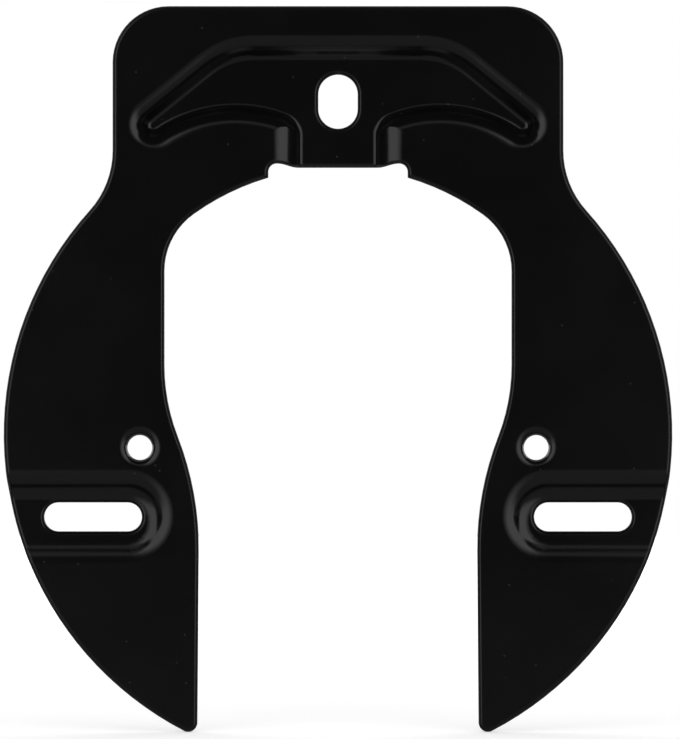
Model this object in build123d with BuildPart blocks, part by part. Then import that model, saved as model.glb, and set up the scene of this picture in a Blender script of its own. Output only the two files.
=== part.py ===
# Mounting bracket for a frame lock: one pressed steel sheet that straddles a bicycle's rear tyre
import os
from math import acos, atan2, cos, degrees, hypot, radians, sin, sqrt, tan

from build123d import *

os.makedirs("parts", exist_ok=True)

# Sizes in millimetres and angles in degrees. Places are taken from the centre of the bridge slot:
# "drop" is below it, "rise" is above it and "x" is to either side of the plane of symmetry.
# A bend is the inner radius of the folded sheet.

# Sheet
sheet_thickness = 1.5
edge_break = 0.5

# Tyre opening: an arch at the top, straight sides, and a narrower mouth between the legs
arch_crown_drop = 13.35
arch_radius = 49.6
arch_corner_radius = 13.95
opening_width = 69.5
opening_sides_end_drop = 52.85
mouth_inset = 6.9
mouth_flare_angle = 0.5
upper_curve_radius = 39.6
lower_curve_radius = 62.2

# Tongue's edge at the arch's crown, a little wider than the trough's floor, with a notch at either side
tongue_edge_rise = 0.1
tongue_edge_outset = 0.5
notch_outset = 6.45
notch_rise = 0.85
notch_corner_radius = 1.7

# Outer outline: a ring around the opening's sides, below a wide tab
leg_width = 32.15
ring_centre_drop = 66.7
tab_width = 90.2
tab_top_rise = 18.95
tab_corner_radius = 11.2
shoulder_radius = 18.0
leg_tip_radius = 1.85

# Bridge slot, upright, for the bolt through the brake bridge
bridge_slot_width = 7.9
bridge_slot_length = 10.9

# Horned recess around the bridge slot
recess_depth = 2.8
recess_flank_angle = 50.0
recess_mouth_bend = 2.5
recess_floor_bend = 1.3
recess_top_rise = 8.95
horn_bend_x = 16.8
horn_bend_radius = 14.0
horn_tip_inset = 8.1
horn_tip_drop = 4.8
horn_floor_tip_radius = 0.45
horn_underside_inset = 16.45
horn_underside_radius = 28.6

# Trough that carries the recess down the tongue to the tyre opening
trough_floor_width = 15.0
trough_top_drop = 4.0
trough_flank_angle = 44.0
trough_mouth_bend = 6.0
trough_corner_radius = 0.7

# Lock slots, level, each in a channel that runs out to the edge over a tilted floor
lock_slot_outset = 14.35
lock_slot_length = 19.6
lock_slot_width = 5.8
lock_slot_drop = 83.3
channel_width = 15.1
channel_rise_over_slot = 0.22
channel_end_past_slot = 4.75
channel_depth = 1.6
channel_floor_tilt = 6.5
channel_flank_angle = 35.0
channel_mouth_bend = 3.8
channel_floor_bend = 4.7

# Screw holes, each pierced through a shallow dimple
screw_hole_diameter = 5.0
screw_hole_inset = 9.4
dimple_clearance = 0.28
dimple_depth = 0.8
dimple_flank_angle = 45.0
dimple_mouth_bend = 0.9
dimple_floor_bend = 0.3
dimple_floor_diameter = 4.8

# Working allowances: material past the outline before trimming, and room left beside a bend
blank_margin = 20.0
pad_margin = 10.0
bend_slack = 0.97
wall_lean = 0.001


def fitting_bends(mouth_bend, floor_bend, depth, flank_angle, floor_tilt=0.0):
    """Both bends of a flank, made smaller together where the flank is too short for them"""
    mouth_share = tan(radians(flank_angle) / 2)
    floor_share = tan(radians(flank_angle + floor_tilt) / 2)
    room = bend_slack * depth / sin(radians(flank_angle)) - sheet_thickness * mouth_share
    fit = min(1.0, room / (mouth_bend * mouth_share + floor_bend * floor_share))
    return fit * mouth_bend, fit * floor_bend


def stamp(outline, level, spread, height, flank_angle, foot_bend, rim_bend, floor=Plane.XY, trim=None):
    """One skin of a pressing: a pad whose upper face is at level, with a raised form on it.
    spread is how far the foot of the form lies outside the outline. trim cuts the form at its floor."""
    with BuildSketch(Plane.XY.offset(level)) as pad:
        offset(outline, amount=spread + pad_margin)
    with BuildSketch(Plane.XY.offset(level)) as foot:
        offset(outline, amount=spread)
    with BuildPart() as skin:
        extrude(pad.sketch, amount=-sheet_thickness)
        extrude(foot.sketch, amount=height, taper=90 - flank_angle)
        pad_face = skin.faces().filter_by(Plane.XY).sort_by(SortBy.AREA)[-2]
        fillet(pad_face.inner_wires().edges(), foot_bend)
        if trim:
            extrude(trim, amount=2 * height, mode=Mode.SUBTRACT)
        fillet(skin.faces().filter_by(floor).sort_by(Axis.Z)[-1].edges(), rim_bend)
    return skin.part


def press_flat(floor, depth, flank_angle, mouth_bend, floor_bend):
    """Back and front skins of a pressing with a level floor, given by the floor's front outline"""
    mouth, rim = fitting_bends(mouth_bend, floor_bend, depth, flank_angle)
    run = depth / tan(radians(flank_angle))
    back_run = run + sheet_thickness * tan(radians(flank_angle) / 2)
    back = stamp(floor, sheet_thickness, back_run, depth, flank_angle, mouth, rim + sheet_thickness)
    front = stamp(floor, 0, run, depth, flank_angle, mouth + sheet_thickness, rim)
    return back, front


# The sheet is modelled lying on its front: x to the right, y down the bracket, z from front to back.

# Outline of the sheet without its tyre opening
opening_x = opening_width / 2
ring_radius = opening_x + leg_width
with BuildSketch() as outer_outline:
    with Locations((0, ring_centre_drop)):
        Circle(ring_radius)
    with Locations((0, (ring_centre_drop - tab_top_rise) / 2)):
        Rectangle(tab_width, ring_centre_drop + tab_top_rise)
    fillet(outer_outline.vertices().group_by(Axis.Y)[-1], shoulder_radius)
    fillet(outer_outline.vertices().group_by(Axis.Y)[0], tab_corner_radius)

# Tyre opening, right half first, from the tongue's edge round to the mouth
corner_x = opening_x - arch_corner_radius
arch_centre_drop = arch_crown_drop + arch_radius
corner_drop = arch_centre_drop - sqrt((arch_radius - arch_corner_radius) ** 2 - corner_x**2)
corner_angle = degrees(atan2(corner_drop - arch_centre_drop, corner_x))
trough_x = trough_floor_width / 2
tongue_edge_x = trough_x + tongue_edge_outset
notch_x = trough_x + notch_outset
notch_angle = -degrees(acos(notch_x / arch_radius))
notch_mouth_drop = arch_centre_drop + arch_radius * sin(radians(notch_angle))
curve_turn = degrees(acos(1 - mouth_inset / (upper_curve_radius + lower_curve_radius)))
tongue_edge_drop = arch_crown_drop - tongue_edge_rise
opening_end_drop = ring_centre_drop + ring_radius + blank_margin
with BuildSketch() as tyre_opening:
    with BuildLine():
        tongue_edge = Line((0, tongue_edge_drop), (tongue_edge_x, tongue_edge_drop))
        notch_top = (notch_x - notch_corner_radius, arch_crown_drop - notch_rise)
        Spline(tongue_edge @ 1, notch_top, tangents=((1, 0), (1, 0)))
        notch_corner = JernArc(notch_top, (1, 0), notch_corner_radius, 90)
        Line(notch_corner @ 1, (notch_x, notch_mouth_drop))
        CenterArc((0, arch_centre_drop), arch_radius, notch_angle, corner_angle - notch_angle)
        corner = CenterArc((corner_x, corner_drop), arch_corner_radius, corner_angle, -corner_angle)
        side = Line(corner @ 1, (opening_x, opening_sides_end_drop))
        upper_curve = JernArc(side @ 1, side % 1, upper_curve_radius, curve_turn)
        lower_turn = -curve_turn - mouth_flare_angle
        lower_curve = JernArc(upper_curve @ 1, upper_curve % 1, lower_curve_radius, lower_turn)
        leg_length = opening_end_drop - (lower_curve @ 1).Y
        leg = Line(lower_curve @ 1, lower_curve @ 1 + (lower_curve % 1) * leg_length)
        Line(leg @ 1, (0, (leg @ 1).Y))
        mirror(about=Plane.YZ)
    make_face()

# Outline of the sheet with every opening in it
slot_x = opening_x + lock_slot_outset
screw_x = slot_x - screw_hole_inset
channel_drop = lock_slot_drop - channel_rise_over_slot
channel_bend_reach = (channel_mouth_bend + sheet_thickness) * tan(radians(channel_flank_angle) / 2)
channel_top_drop = channel_drop - channel_width / 2 - channel_bend_reach
dimple_run = dimple_depth / tan(radians(dimple_flank_angle))
dimple_bend_reach = (dimple_mouth_bend + sheet_thickness) * tan(radians(dimple_flank_angle) / 2)
dimple_radius = dimple_floor_diameter / 2 + dimple_run + dimple_bend_reach
screw_hole_drop = channel_top_drop - dimple_clearance - dimple_radius
with BuildSketch() as outline:
    add(outer_outline.sketch)
    add(tyre_opening.sketch, mode=Mode.SUBTRACT)
    fillet(outline.vertices().group_by(Axis.Y)[-1], leg_tip_radius)
    SlotOverall(bridge_slot_length, bridge_slot_width, rotation=90, mode=Mode.SUBTRACT)
    with Locations((-slot_x, lock_slot_drop), (slot_x, lock_slot_drop)):
        SlotOverall(lock_slot_length, lock_slot_width, mode=Mode.SUBTRACT)
    with Locations((-screw_x, screw_hole_drop), (screw_x, screw_hole_drop)):
        Circle(screw_hole_diameter / 2, mode=Mode.SUBTRACT)

# Floor of the horned recess, right half first, from its top edge round the horn to the trough
recess_bend_share = tan(radians(recess_flank_angle) / 2)
recess_run = recess_depth / tan(radians(recess_flank_angle))
horn_tip_radius = horn_floor_tip_radius + recess_floor_bend * recess_bend_share
mouth_bend_reach = (recess_mouth_bend + sheet_thickness) * recess_bend_share
floor_corner_radius = trough_corner_radius + recess_run + mouth_bend_reach
horn_bend_drop = horn_bend_radius - recess_top_rise
horn_fall = horn_tip_drop - horn_bend_drop
horn_tip_x = tab_width / 2 - horn_tip_inset
horn_underside_x = horn_tip_x - horn_underside_inset
horn_reach = horn_tip_x - horn_bend_x
horn_lean = acos((horn_bend_radius - horn_tip_radius) / hypot(horn_fall, horn_reach))
horn_normal = degrees(atan2(horn_fall, horn_reach) - horn_lean)
tip_to_underside = horn_underside_radius + horn_tip_radius
underside_drop = horn_tip_drop + sqrt(tip_to_underside**2 - horn_underside_inset**2)
underside_angle = degrees(atan2(horn_tip_drop - underside_drop, horn_underside_inset))
trough_end_drop = tongue_edge_drop + pad_margin
floor_corner_x = trough_x + floor_corner_radius
corner_to_underside_x = floor_corner_x - horn_underside_x
corner_to_underside = horn_underside_radius - floor_corner_radius
floor_corner_drop = underside_drop - sqrt(corner_to_underside**2 - corner_to_underside_x**2)
floor_corner_angle = degrees(atan2(floor_corner_drop - underside_drop, corner_to_underside_x))
tip_turn = 180 + underside_angle - horn_normal
underside_turn = floor_corner_angle - underside_angle
floor_corner_turn = -180 - floor_corner_angle
with BuildSketch() as recess_floor:
    with BuildLine():
        Line((0, -recess_top_rise), (horn_bend_x, -recess_top_rise))
        bend = CenterArc((horn_bend_x, horn_bend_drop), horn_bend_radius, -90, 90 + horn_normal)
        tip = CenterArc((horn_tip_x, horn_tip_drop), horn_tip_radius, horn_normal, tip_turn)
        Line(bend @ 1, tip @ 0)
        underside_centre = (horn_underside_x, underside_drop)
        CenterArc(underside_centre, horn_underside_radius, underside_angle, underside_turn)
        floor_corner_centre = (floor_corner_x, floor_corner_drop)
        floor_corner = CenterArc(
            floor_corner_centre, floor_corner_radius, floor_corner_angle, floor_corner_turn
        )
        trough_side = Line(floor_corner @ 1, (trough_x, trough_end_drop))
        Line(trough_side @ 1, (0, trough_end_drop))
        mirror(about=Plane.YZ)
    make_face()
    fillet(recess_floor.vertices().group_by(Axis.Y)[-1], trough_x / 2)

# Floor of the trough
with BuildSketch() as trough_floor:
    with Locations((0, (trough_top_drop + trough_end_drop) / 2)):
        SlotCenterToCenter(trough_end_drop - trough_top_drop, trough_floor_width, rotation=90)

# Mouths of the channels, which run past the outline, and the tilted floor that they share
channel_start_x = slot_x - lock_slot_length / 2 - channel_end_past_slot + channel_width / 2
channel_end_x = ring_radius + blank_margin
channel_x = (channel_start_x + channel_end_x) / 2
channel_run = channel_end_x - channel_start_x
channel_slope = tan(radians(channel_floor_tilt))
channel_steepness = tan(radians(channel_flank_angle))
upper_foot_rise = channel_width / 2 + channel_rise_over_slot
deepest_under_foot = channel_depth + channel_slope * upper_foot_rise
channel_deepest = channel_steepness * deepest_under_foot / (channel_steepness + channel_slope)
channel_form_height = deepest_under_foot + sheet_thickness
channel_back_run = sheet_thickness * tan(radians(channel_flank_angle) / 2)
tilted_normal = (0, sin(radians(channel_floor_tilt)), cos(radians(channel_floor_tilt)))
front_floor = Plane((0, lock_slot_drop, channel_depth), (1, 0, 0), tilted_normal)
back_floor = front_floor.offset(sheet_thickness)
channel_mouth, channel_rim = fitting_bends(
    channel_mouth_bend, channel_floor_bend, channel_deepest, channel_flank_angle, channel_floor_tilt
)
with BuildSketch() as right_channel:
    with Locations((channel_x, channel_drop)):
        SlotCenterToCenter(channel_run, channel_width)
with BuildSketch(front_floor) as front_trim:
    with Locations((channel_x, 0)):
        Rectangle(channel_run + 2 * channel_width, 2 * upper_foot_rise)
with BuildSketch(back_floor) as back_trim:
    with Locations((channel_x, 0)):
        Rectangle(channel_run + 2 * channel_width, 2 * upper_foot_rise)
channel_back = stamp(
    right_channel.sketch, sheet_thickness, channel_back_run, channel_form_height, channel_flank_angle,
    channel_mouth, channel_rim + sheet_thickness, back_floor, back_trim.sketch,
)
channel_front = stamp(
    right_channel.sketch, 0, 0, channel_form_height, channel_flank_angle,
    channel_mouth + sheet_thickness, channel_rim, front_floor, front_trim.sketch,
)

# Skins of the other pressings
recess_back, recess_front = press_flat(
    recess_floor.sketch, recess_depth, recess_flank_angle, recess_mouth_bend, recess_floor_bend
)
trough_back, trough_front = press_flat(
    trough_floor.sketch, recess_depth, trough_flank_angle, trough_mouth_bend, recess_floor_bend
)
with BuildSketch() as dimple_floor:
    with Locations((screw_x, screw_hole_drop)):
        Circle(dimple_floor_diameter / 2)
dimple_back, dimple_front = press_flat(
    dimple_floor.sketch, dimple_depth, dimple_flank_angle, dimple_mouth_bend, dimple_floor_bend
)
back_skins = [recess_back, trough_back]
for skin in (channel_back, dimple_back):
    back_skins += [skin, mirror(skin, about=Plane.YZ)]
front_skins = [recess_front, trough_front]
for skin in (channel_front, dimple_front):
    front_skins += [skin, mirror(skin, about=Plane.YZ)]

# The pressed sheet, trimmed to its outline, with its front edges broken
seat_to_front = recess_depth + sheet_thickness
with BuildPart() as pressed_sheet:
    extrude(outer_outline.sketch, amount=sheet_thickness)
    for skin in back_skins:
        add(skin)
    for skin in front_skins:
        add(skin, mode=Mode.SUBTRACT)
    extrude(outline.sketch, amount=2 * seat_to_front, mode=Mode.INTERSECT)
    walls = pressed_sheet.faces().filter_by(lambda face: abs(face.normal_at().Z) < wall_lean)
    front_faces = pressed_sheet.faces().filter_by(lambda face: face.normal_at().Z < -wall_lean)
    chamfer(walls.edges() & front_faces.edges(), edge_break)

# The bracket upright, its front towards -Y and the back of the recess's floor in the plane Y = 0
upright = Plane((0, -seat_to_front, 0), (1, 0, 0), (0, 1, 0))
with BuildPart(upright) as bracket:
    add(pressed_sheet.part)
bracket.part.label = "bracket"
export_step(bracket.part, "parts/bracket.step")
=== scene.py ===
import math

import bpy
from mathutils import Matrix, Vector


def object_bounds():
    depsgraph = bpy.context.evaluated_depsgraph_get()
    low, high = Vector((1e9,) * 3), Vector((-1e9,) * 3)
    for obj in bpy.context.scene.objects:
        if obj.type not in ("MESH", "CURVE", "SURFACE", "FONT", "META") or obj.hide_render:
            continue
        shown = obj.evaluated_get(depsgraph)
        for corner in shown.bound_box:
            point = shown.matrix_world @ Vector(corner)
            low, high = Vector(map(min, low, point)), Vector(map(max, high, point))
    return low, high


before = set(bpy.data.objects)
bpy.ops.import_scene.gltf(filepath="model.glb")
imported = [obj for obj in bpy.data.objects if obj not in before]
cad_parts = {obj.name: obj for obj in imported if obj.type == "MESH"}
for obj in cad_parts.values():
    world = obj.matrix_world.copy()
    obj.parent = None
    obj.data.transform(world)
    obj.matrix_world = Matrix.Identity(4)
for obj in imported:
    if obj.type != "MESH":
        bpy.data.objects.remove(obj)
cad_low, cad_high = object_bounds()

# Photograph: its size, the centre of the bridge slot in it, and the size of a pixel on the bracket's front
IMAGE_WIDTH_PX = 680
IMAGE_HEIGHT_PX = 739
SLOT_X_PX = 338.0
SLOT_Y_PX = 100.75
M_PER_PX = 0.0002

# Camera
LENS_MM = 250.0
SENSOR_MM = 36.0
CLIP_START = 0.01
CLIP_END = 20.0

# Powder coat: noise scales are per metre
COAT_BLACK = (0.0026, 0.0026, 0.0027, 1)
DUST_GREY = (0.022, 0.022, 0.022, 1)
CLOUD = {"Scale": 70.0, "Detail": 3.0, "Roughness": 0.55}
CLOUD_LEVELS = (0.3, 0.7)
CLOUD_GLOSS = (0.14, 0.18)
PEEL = {"Scale": 1100.0, "Detail": 2.0, "Roughness": 0.5}
PEEL_STRENGTH = 0.06
PEEL_HEIGHT = 0.0001
DUST_SCALE = 260.0
SPECK_EDGE = (0.06, 0.035)
EDGE_RADIUS = 0.0006
EDGE_SAMPLES = 16

# Floor: the glow that it has for the camera rises with the distance from the bracket
FLOOR_HALF = 1.2
PAPER = (0.9, 0.9, 0.9, 1)
WHITE = (1, 1, 1, 1)
FLOOR_NEAR_FAR = (0.3, 0.9)
FLOOR_GLOW = (0.35, 1.0)

# World: each pair is a range of a direction's Y, to the back, or Z, up, and the brightness at its ends
BEHIND_Y = (-0.12, 0.05)
BEHIND_GLOW = (0.02, 0.3)
STRAIGHT_BEHIND_Y = (0.8, 0.96)
STRAIGHT_BEHIND_SHARE = (1.0, 0.15)
AHEAD_Y = (-0.40, -0.54)
AHEAD_GLOW = (0.0, 0.2)
BELOW_Z = (-0.02, -0.12)
MATT_GLOW = 0.6

scene = bpy.context.scene
scene.view_settings.view_transform = "Standard"
centre = Vector((
    (IMAGE_WIDTH_PX / 2 - SLOT_X_PX) * M_PER_PX,
    cad_low.y,
    (SLOT_Y_PX - IMAGE_HEIGHT_PX / 2) * M_PER_PX,
))


def aimed(obj, place, target):
    """Puts a lamp or the camera at a place, looking at a target."""
    obj.location = place
    obj.rotation_euler = (Vector(target) - Vector(place)).to_track_quat("-Z", "Y").to_euler()
    scene.collection.objects.link(obj)
    return obj


def front_camera():
    """A camera square to the bracket's front, with the photograph's frame."""
    data = bpy.data.cameras.new("camera")
    data.lens = LENS_MM
    data.sensor_width = SENSOR_MM
    data.clip_start = CLIP_START
    data.clip_end = CLIP_END
    distance = IMAGE_HEIGHT_PX * M_PER_PX * LENS_MM / SENSOR_MM
    return aimed(bpy.data.objects.new("camera", data), centre - Vector((0, distance, 0)), centre)


def empty_tree(owner):
    """The node tree of a material, a lamp or the world, with no nodes in it."""
    owner.use_nodes = True
    owner.node_tree.nodes.clear()
    return owner.node_tree


def add_node(tree, kind, inputs=None, **settings):
    """A new node. Each input is given a value, or the output that it is linked to."""
    node = tree.nodes.new("ShaderNode" + kind)
    for name, value in settings.items():
        setattr(node, name, value)
    for key, value in (inputs or {}).items():
        if isinstance(value, bpy.types.NodeSocket):
            tree.links.new(value, node.inputs[key])
        else:
            node.inputs[key].default_value = value
    return node


def ramp(tree, source, ends, levels=(0.0, 1.0), curve="LINEAR"):
    """Maps a source from one level to the other between two ends."""
    inputs = {
        "Value": source,
        "From Min": ends[0],
        "From Max": ends[1],
        "To Min": levels[0],
        "To Max": levels[1],
    }
    return add_node(tree, "MapRange", inputs, interpolation_type=curve).outputs["Result"]


def combine(tree, operation, first, second):
    """Two values, combined by addition, multiplication or the like."""
    return add_node(tree, "Math", {0: first, 1: second}, operation=operation).outputs["Value"]


def powder_coat():
    """Satin black coat with fine orange peel, a faint cloudy gloss and a few specks of dust. It rounds
    the sheet's broken edges."""
    material = bpy.data.materials.new("powder_coat")
    tree = empty_tree(material)
    place = add_node(tree, "TexCoord").outputs["Object"]

    cloud = add_node(tree, "TexNoise", {"Vector": place, **CLOUD})
    gloss = ramp(tree, cloud.outputs["Fac"], CLOUD_LEVELS, CLOUD_GLOSS)

    dust = add_node(tree, "TexVoronoi", {"Vector": place, "Scale": DUST_SCALE})
    specks = ramp(tree, dust.outputs["Distance"], SPECK_EDGE)
    colour = add_node(tree, "Mix", {"Factor": specks, "A": COAT_BLACK, "B": DUST_GREY}, data_type="RGBA")

    edge = add_node(tree, "Bevel", {"Radius": EDGE_RADIUS}, samples=EDGE_SAMPLES)
    peel = add_node(tree, "TexNoise", {"Vector": place, **PEEL})
    surface = add_node(tree, "Bump", {
        "Normal": edge.outputs["Normal"],
        "Height": peel.outputs["Fac"],
        "Strength": PEEL_STRENGTH,
        "Distance": PEEL_HEIGHT,
    })

    coat = add_node(tree, "BsdfPrincipled", {
        "Base Color": colour.outputs["Result"],
        "Roughness": gloss,
        "Normal": surface.outputs["Normal"],
    })
    add_node(tree, "OutputMaterial", {"Surface": coat.outputs["BSDF"]})
    return material


def white_paper():
    """Matt white paper. To the camera it is nearly white near the bracket, where it keeps a faint shadow,
    and runs out into the white behind it."""
    material = bpy.data.materials.new("paper")
    tree = empty_tree(material)
    matt = add_node(tree, "BsdfDiffuse", {"Color": PAPER})
    place = add_node(tree, "TexCoord").outputs["Object"]
    away = add_node(tree, "VectorMath", {0: place}, operation="LENGTH").outputs["Value"]
    seen = add_node(tree, "LightPath").outputs["Is Camera Ray"]
    glow = combine(tree, "MULTIPLY", seen, ramp(tree, away, FLOOR_NEAR_FAR, FLOOR_GLOW))
    white = add_node(tree, "Emission", {"Color": WHITE, "Strength": glow})
    both = add_node(tree, "AddShader", {0: matt.outputs["BSDF"], 1: white.outputs["Emission"]})
    add_node(tree, "OutputMaterial", {"Surface": both.outputs["Shader"]})
    return material


def paper_floor():
    """A plain square of paper under the leg tips."""
    mesh = bpy.data.meshes.new("floor")
    sides = ((-1, -1), (1, -1), (1, 1), (-1, 1))
    corners = [(FLOOR_HALF * x, FLOOR_HALF * y, cad_low.z) for x, y in sides]
    mesh.from_pydata(corners, [], [(0, 1, 2, 3)])
    mesh.materials.append(white_paper())
    obj = bpy.data.objects.new("floor", mesh)
    obj.visible_glossy = False
    scene.collection.objects.link(obj)
    return obj


def studio_world():
    """White to the camera and even light on matt surfaces. Reflections show pale paper around the back of
    the bracket, grey paper low in front of it, and a dark room elsewhere."""
    world = bpy.data.worlds.new("studio")
    tree = empty_tree(world)
    rays = add_node(tree, "LightPath").outputs
    place = add_node(tree, "TexCoord").outputs["Generated"]
    way = add_node(tree, "SeparateXYZ", {"Vector": place}).outputs

    behind = ramp(tree, way["Y"], BEHIND_Y, BEHIND_GLOW, "SMOOTHSTEP")
    straight_behind = ramp(tree, way["Y"], STRAIGHT_BEHIND_Y, STRAIGHT_BEHIND_SHARE, "SMOOTHSTEP")
    back_paper = combine(tree, "MULTIPLY", behind, straight_behind)
    ahead = ramp(tree, way["Y"], AHEAD_Y, AHEAD_GLOW, "SMOOTHSTEP")
    below = ramp(tree, way["Z"], BELOW_Z, curve="SMOOTHSTEP")
    low_paper = combine(tree, "MULTIPLY", ahead, below)

    seen = combine(tree, "MAXIMUM", rays["Is Camera Ray"], rays["Is Transmission Ray"])
    papers = combine(tree, "MAXIMUM", back_paper, low_paper)
    mirrored = combine(tree, "MULTIPLY", rays["Is Glossy Ray"], papers)
    matt = combine(tree, "MULTIPLY", rays["Is Diffuse Ray"], MATT_GLOW)
    strength = combine(tree, "ADD", seen, combine(tree, "ADD", mirrored, matt))
    sky = add_node(tree, "Background", {"Color": WHITE, "Strength": strength})
    add_node(tree, "OutputWorld", {"Surface": sky.outputs["Background"]})
    return world


def area_lamp(name, place, target, width, height, radiance):
    """A flat lamp that the camera doesn't see."""
    lamp = bpy.data.lights.new(name, "AREA")
    lamp.shape = "RECTANGLE"
    lamp.size = width
    lamp.size_y = height
    lamp.energy = radiance * math.pi * width * height
    obj = aimed(bpy.data.objects.new(name, lamp), place, target)
    obj.visible_camera = False
    return obj


def softbox(name, polar, turn, width, height, radiance):
    """A soft lamp 1 m from the bracket. polar is its angle from the camera's axis and turn is its direction
    in the image, from the right and upwards."""
    off = math.radians(polar)
    around = math.radians(turn)
    way = Vector((math.sin(off) * math.cos(around), -math.cos(off), math.sin(off) * math.sin(around)))
    return area_lamp(name, centre + way, centre, width, height, radiance)


def soften(lamp, across, upwards):
    """Lets a lamp brighten between two places across it and between two places up it. Places run from
    0 to 1, to the right and upwards as the lamp looks at the bracket."""
    tree = empty_tree(lamp.data)
    place = add_node(tree, "NewGeometry").outputs["Parametric"]
    parts = add_node(tree, "SeparateXYZ", {"Vector": place}).outputs
    side = ramp(tree, parts["X"], across)
    lift = ramp(tree, parts["Y"], upwards, curve="SMOOTHSTEP")
    glow = add_node(tree, "Emission", {"Strength": combine(tree, "MULTIPLY", side, lift)})
    add_node(tree, "OutputLight", {"Surface": glow.outputs["Emission"]})


scene.camera = front_camera()

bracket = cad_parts["bracket"]
bracket.data.materials.clear()
bracket.data.materials.append(powder_coat())

floor = paper_floor()
scene.world = studio_world()

# Softboxes to the left and right of the camera, soft towards it and downwards
left = softbox("left", polar=30.8, turn=176.1, width=0.79, height=1.07, radiance=1.15)
soften(left, across=(1.0, 0.65), upwards=(0.0, 0.47))
right = softbox("right", polar=30.8, turn=3.9, width=0.79, height=1.07, radiance=1.2)
soften(right, across=(0.0, 0.35), upwards=(0.0, 0.47))

# Dim strip overhead, and two softboxes for the back
softbox("top", polar=31.5, turn=90.0, width=1.0, height=0.25, radiance=0.28)
softbox("back_left", polar=142.0, turn=161.5, width=0.73, height=0.8, radiance=1.2)
softbox("back_right", polar=142.0, turn=18.5, width=0.73, height=0.8, radiance=1.2)

# Small grey card between the legs, which the upper flank of the recess mirrors
card_place = (0.0, -0.0265, -0.088)
upper_flank = (0.0, -0.003, 0.01)
area_lamp("card", card_place, upper_flank, width=0.024, height=0.048, radiance=0.2)
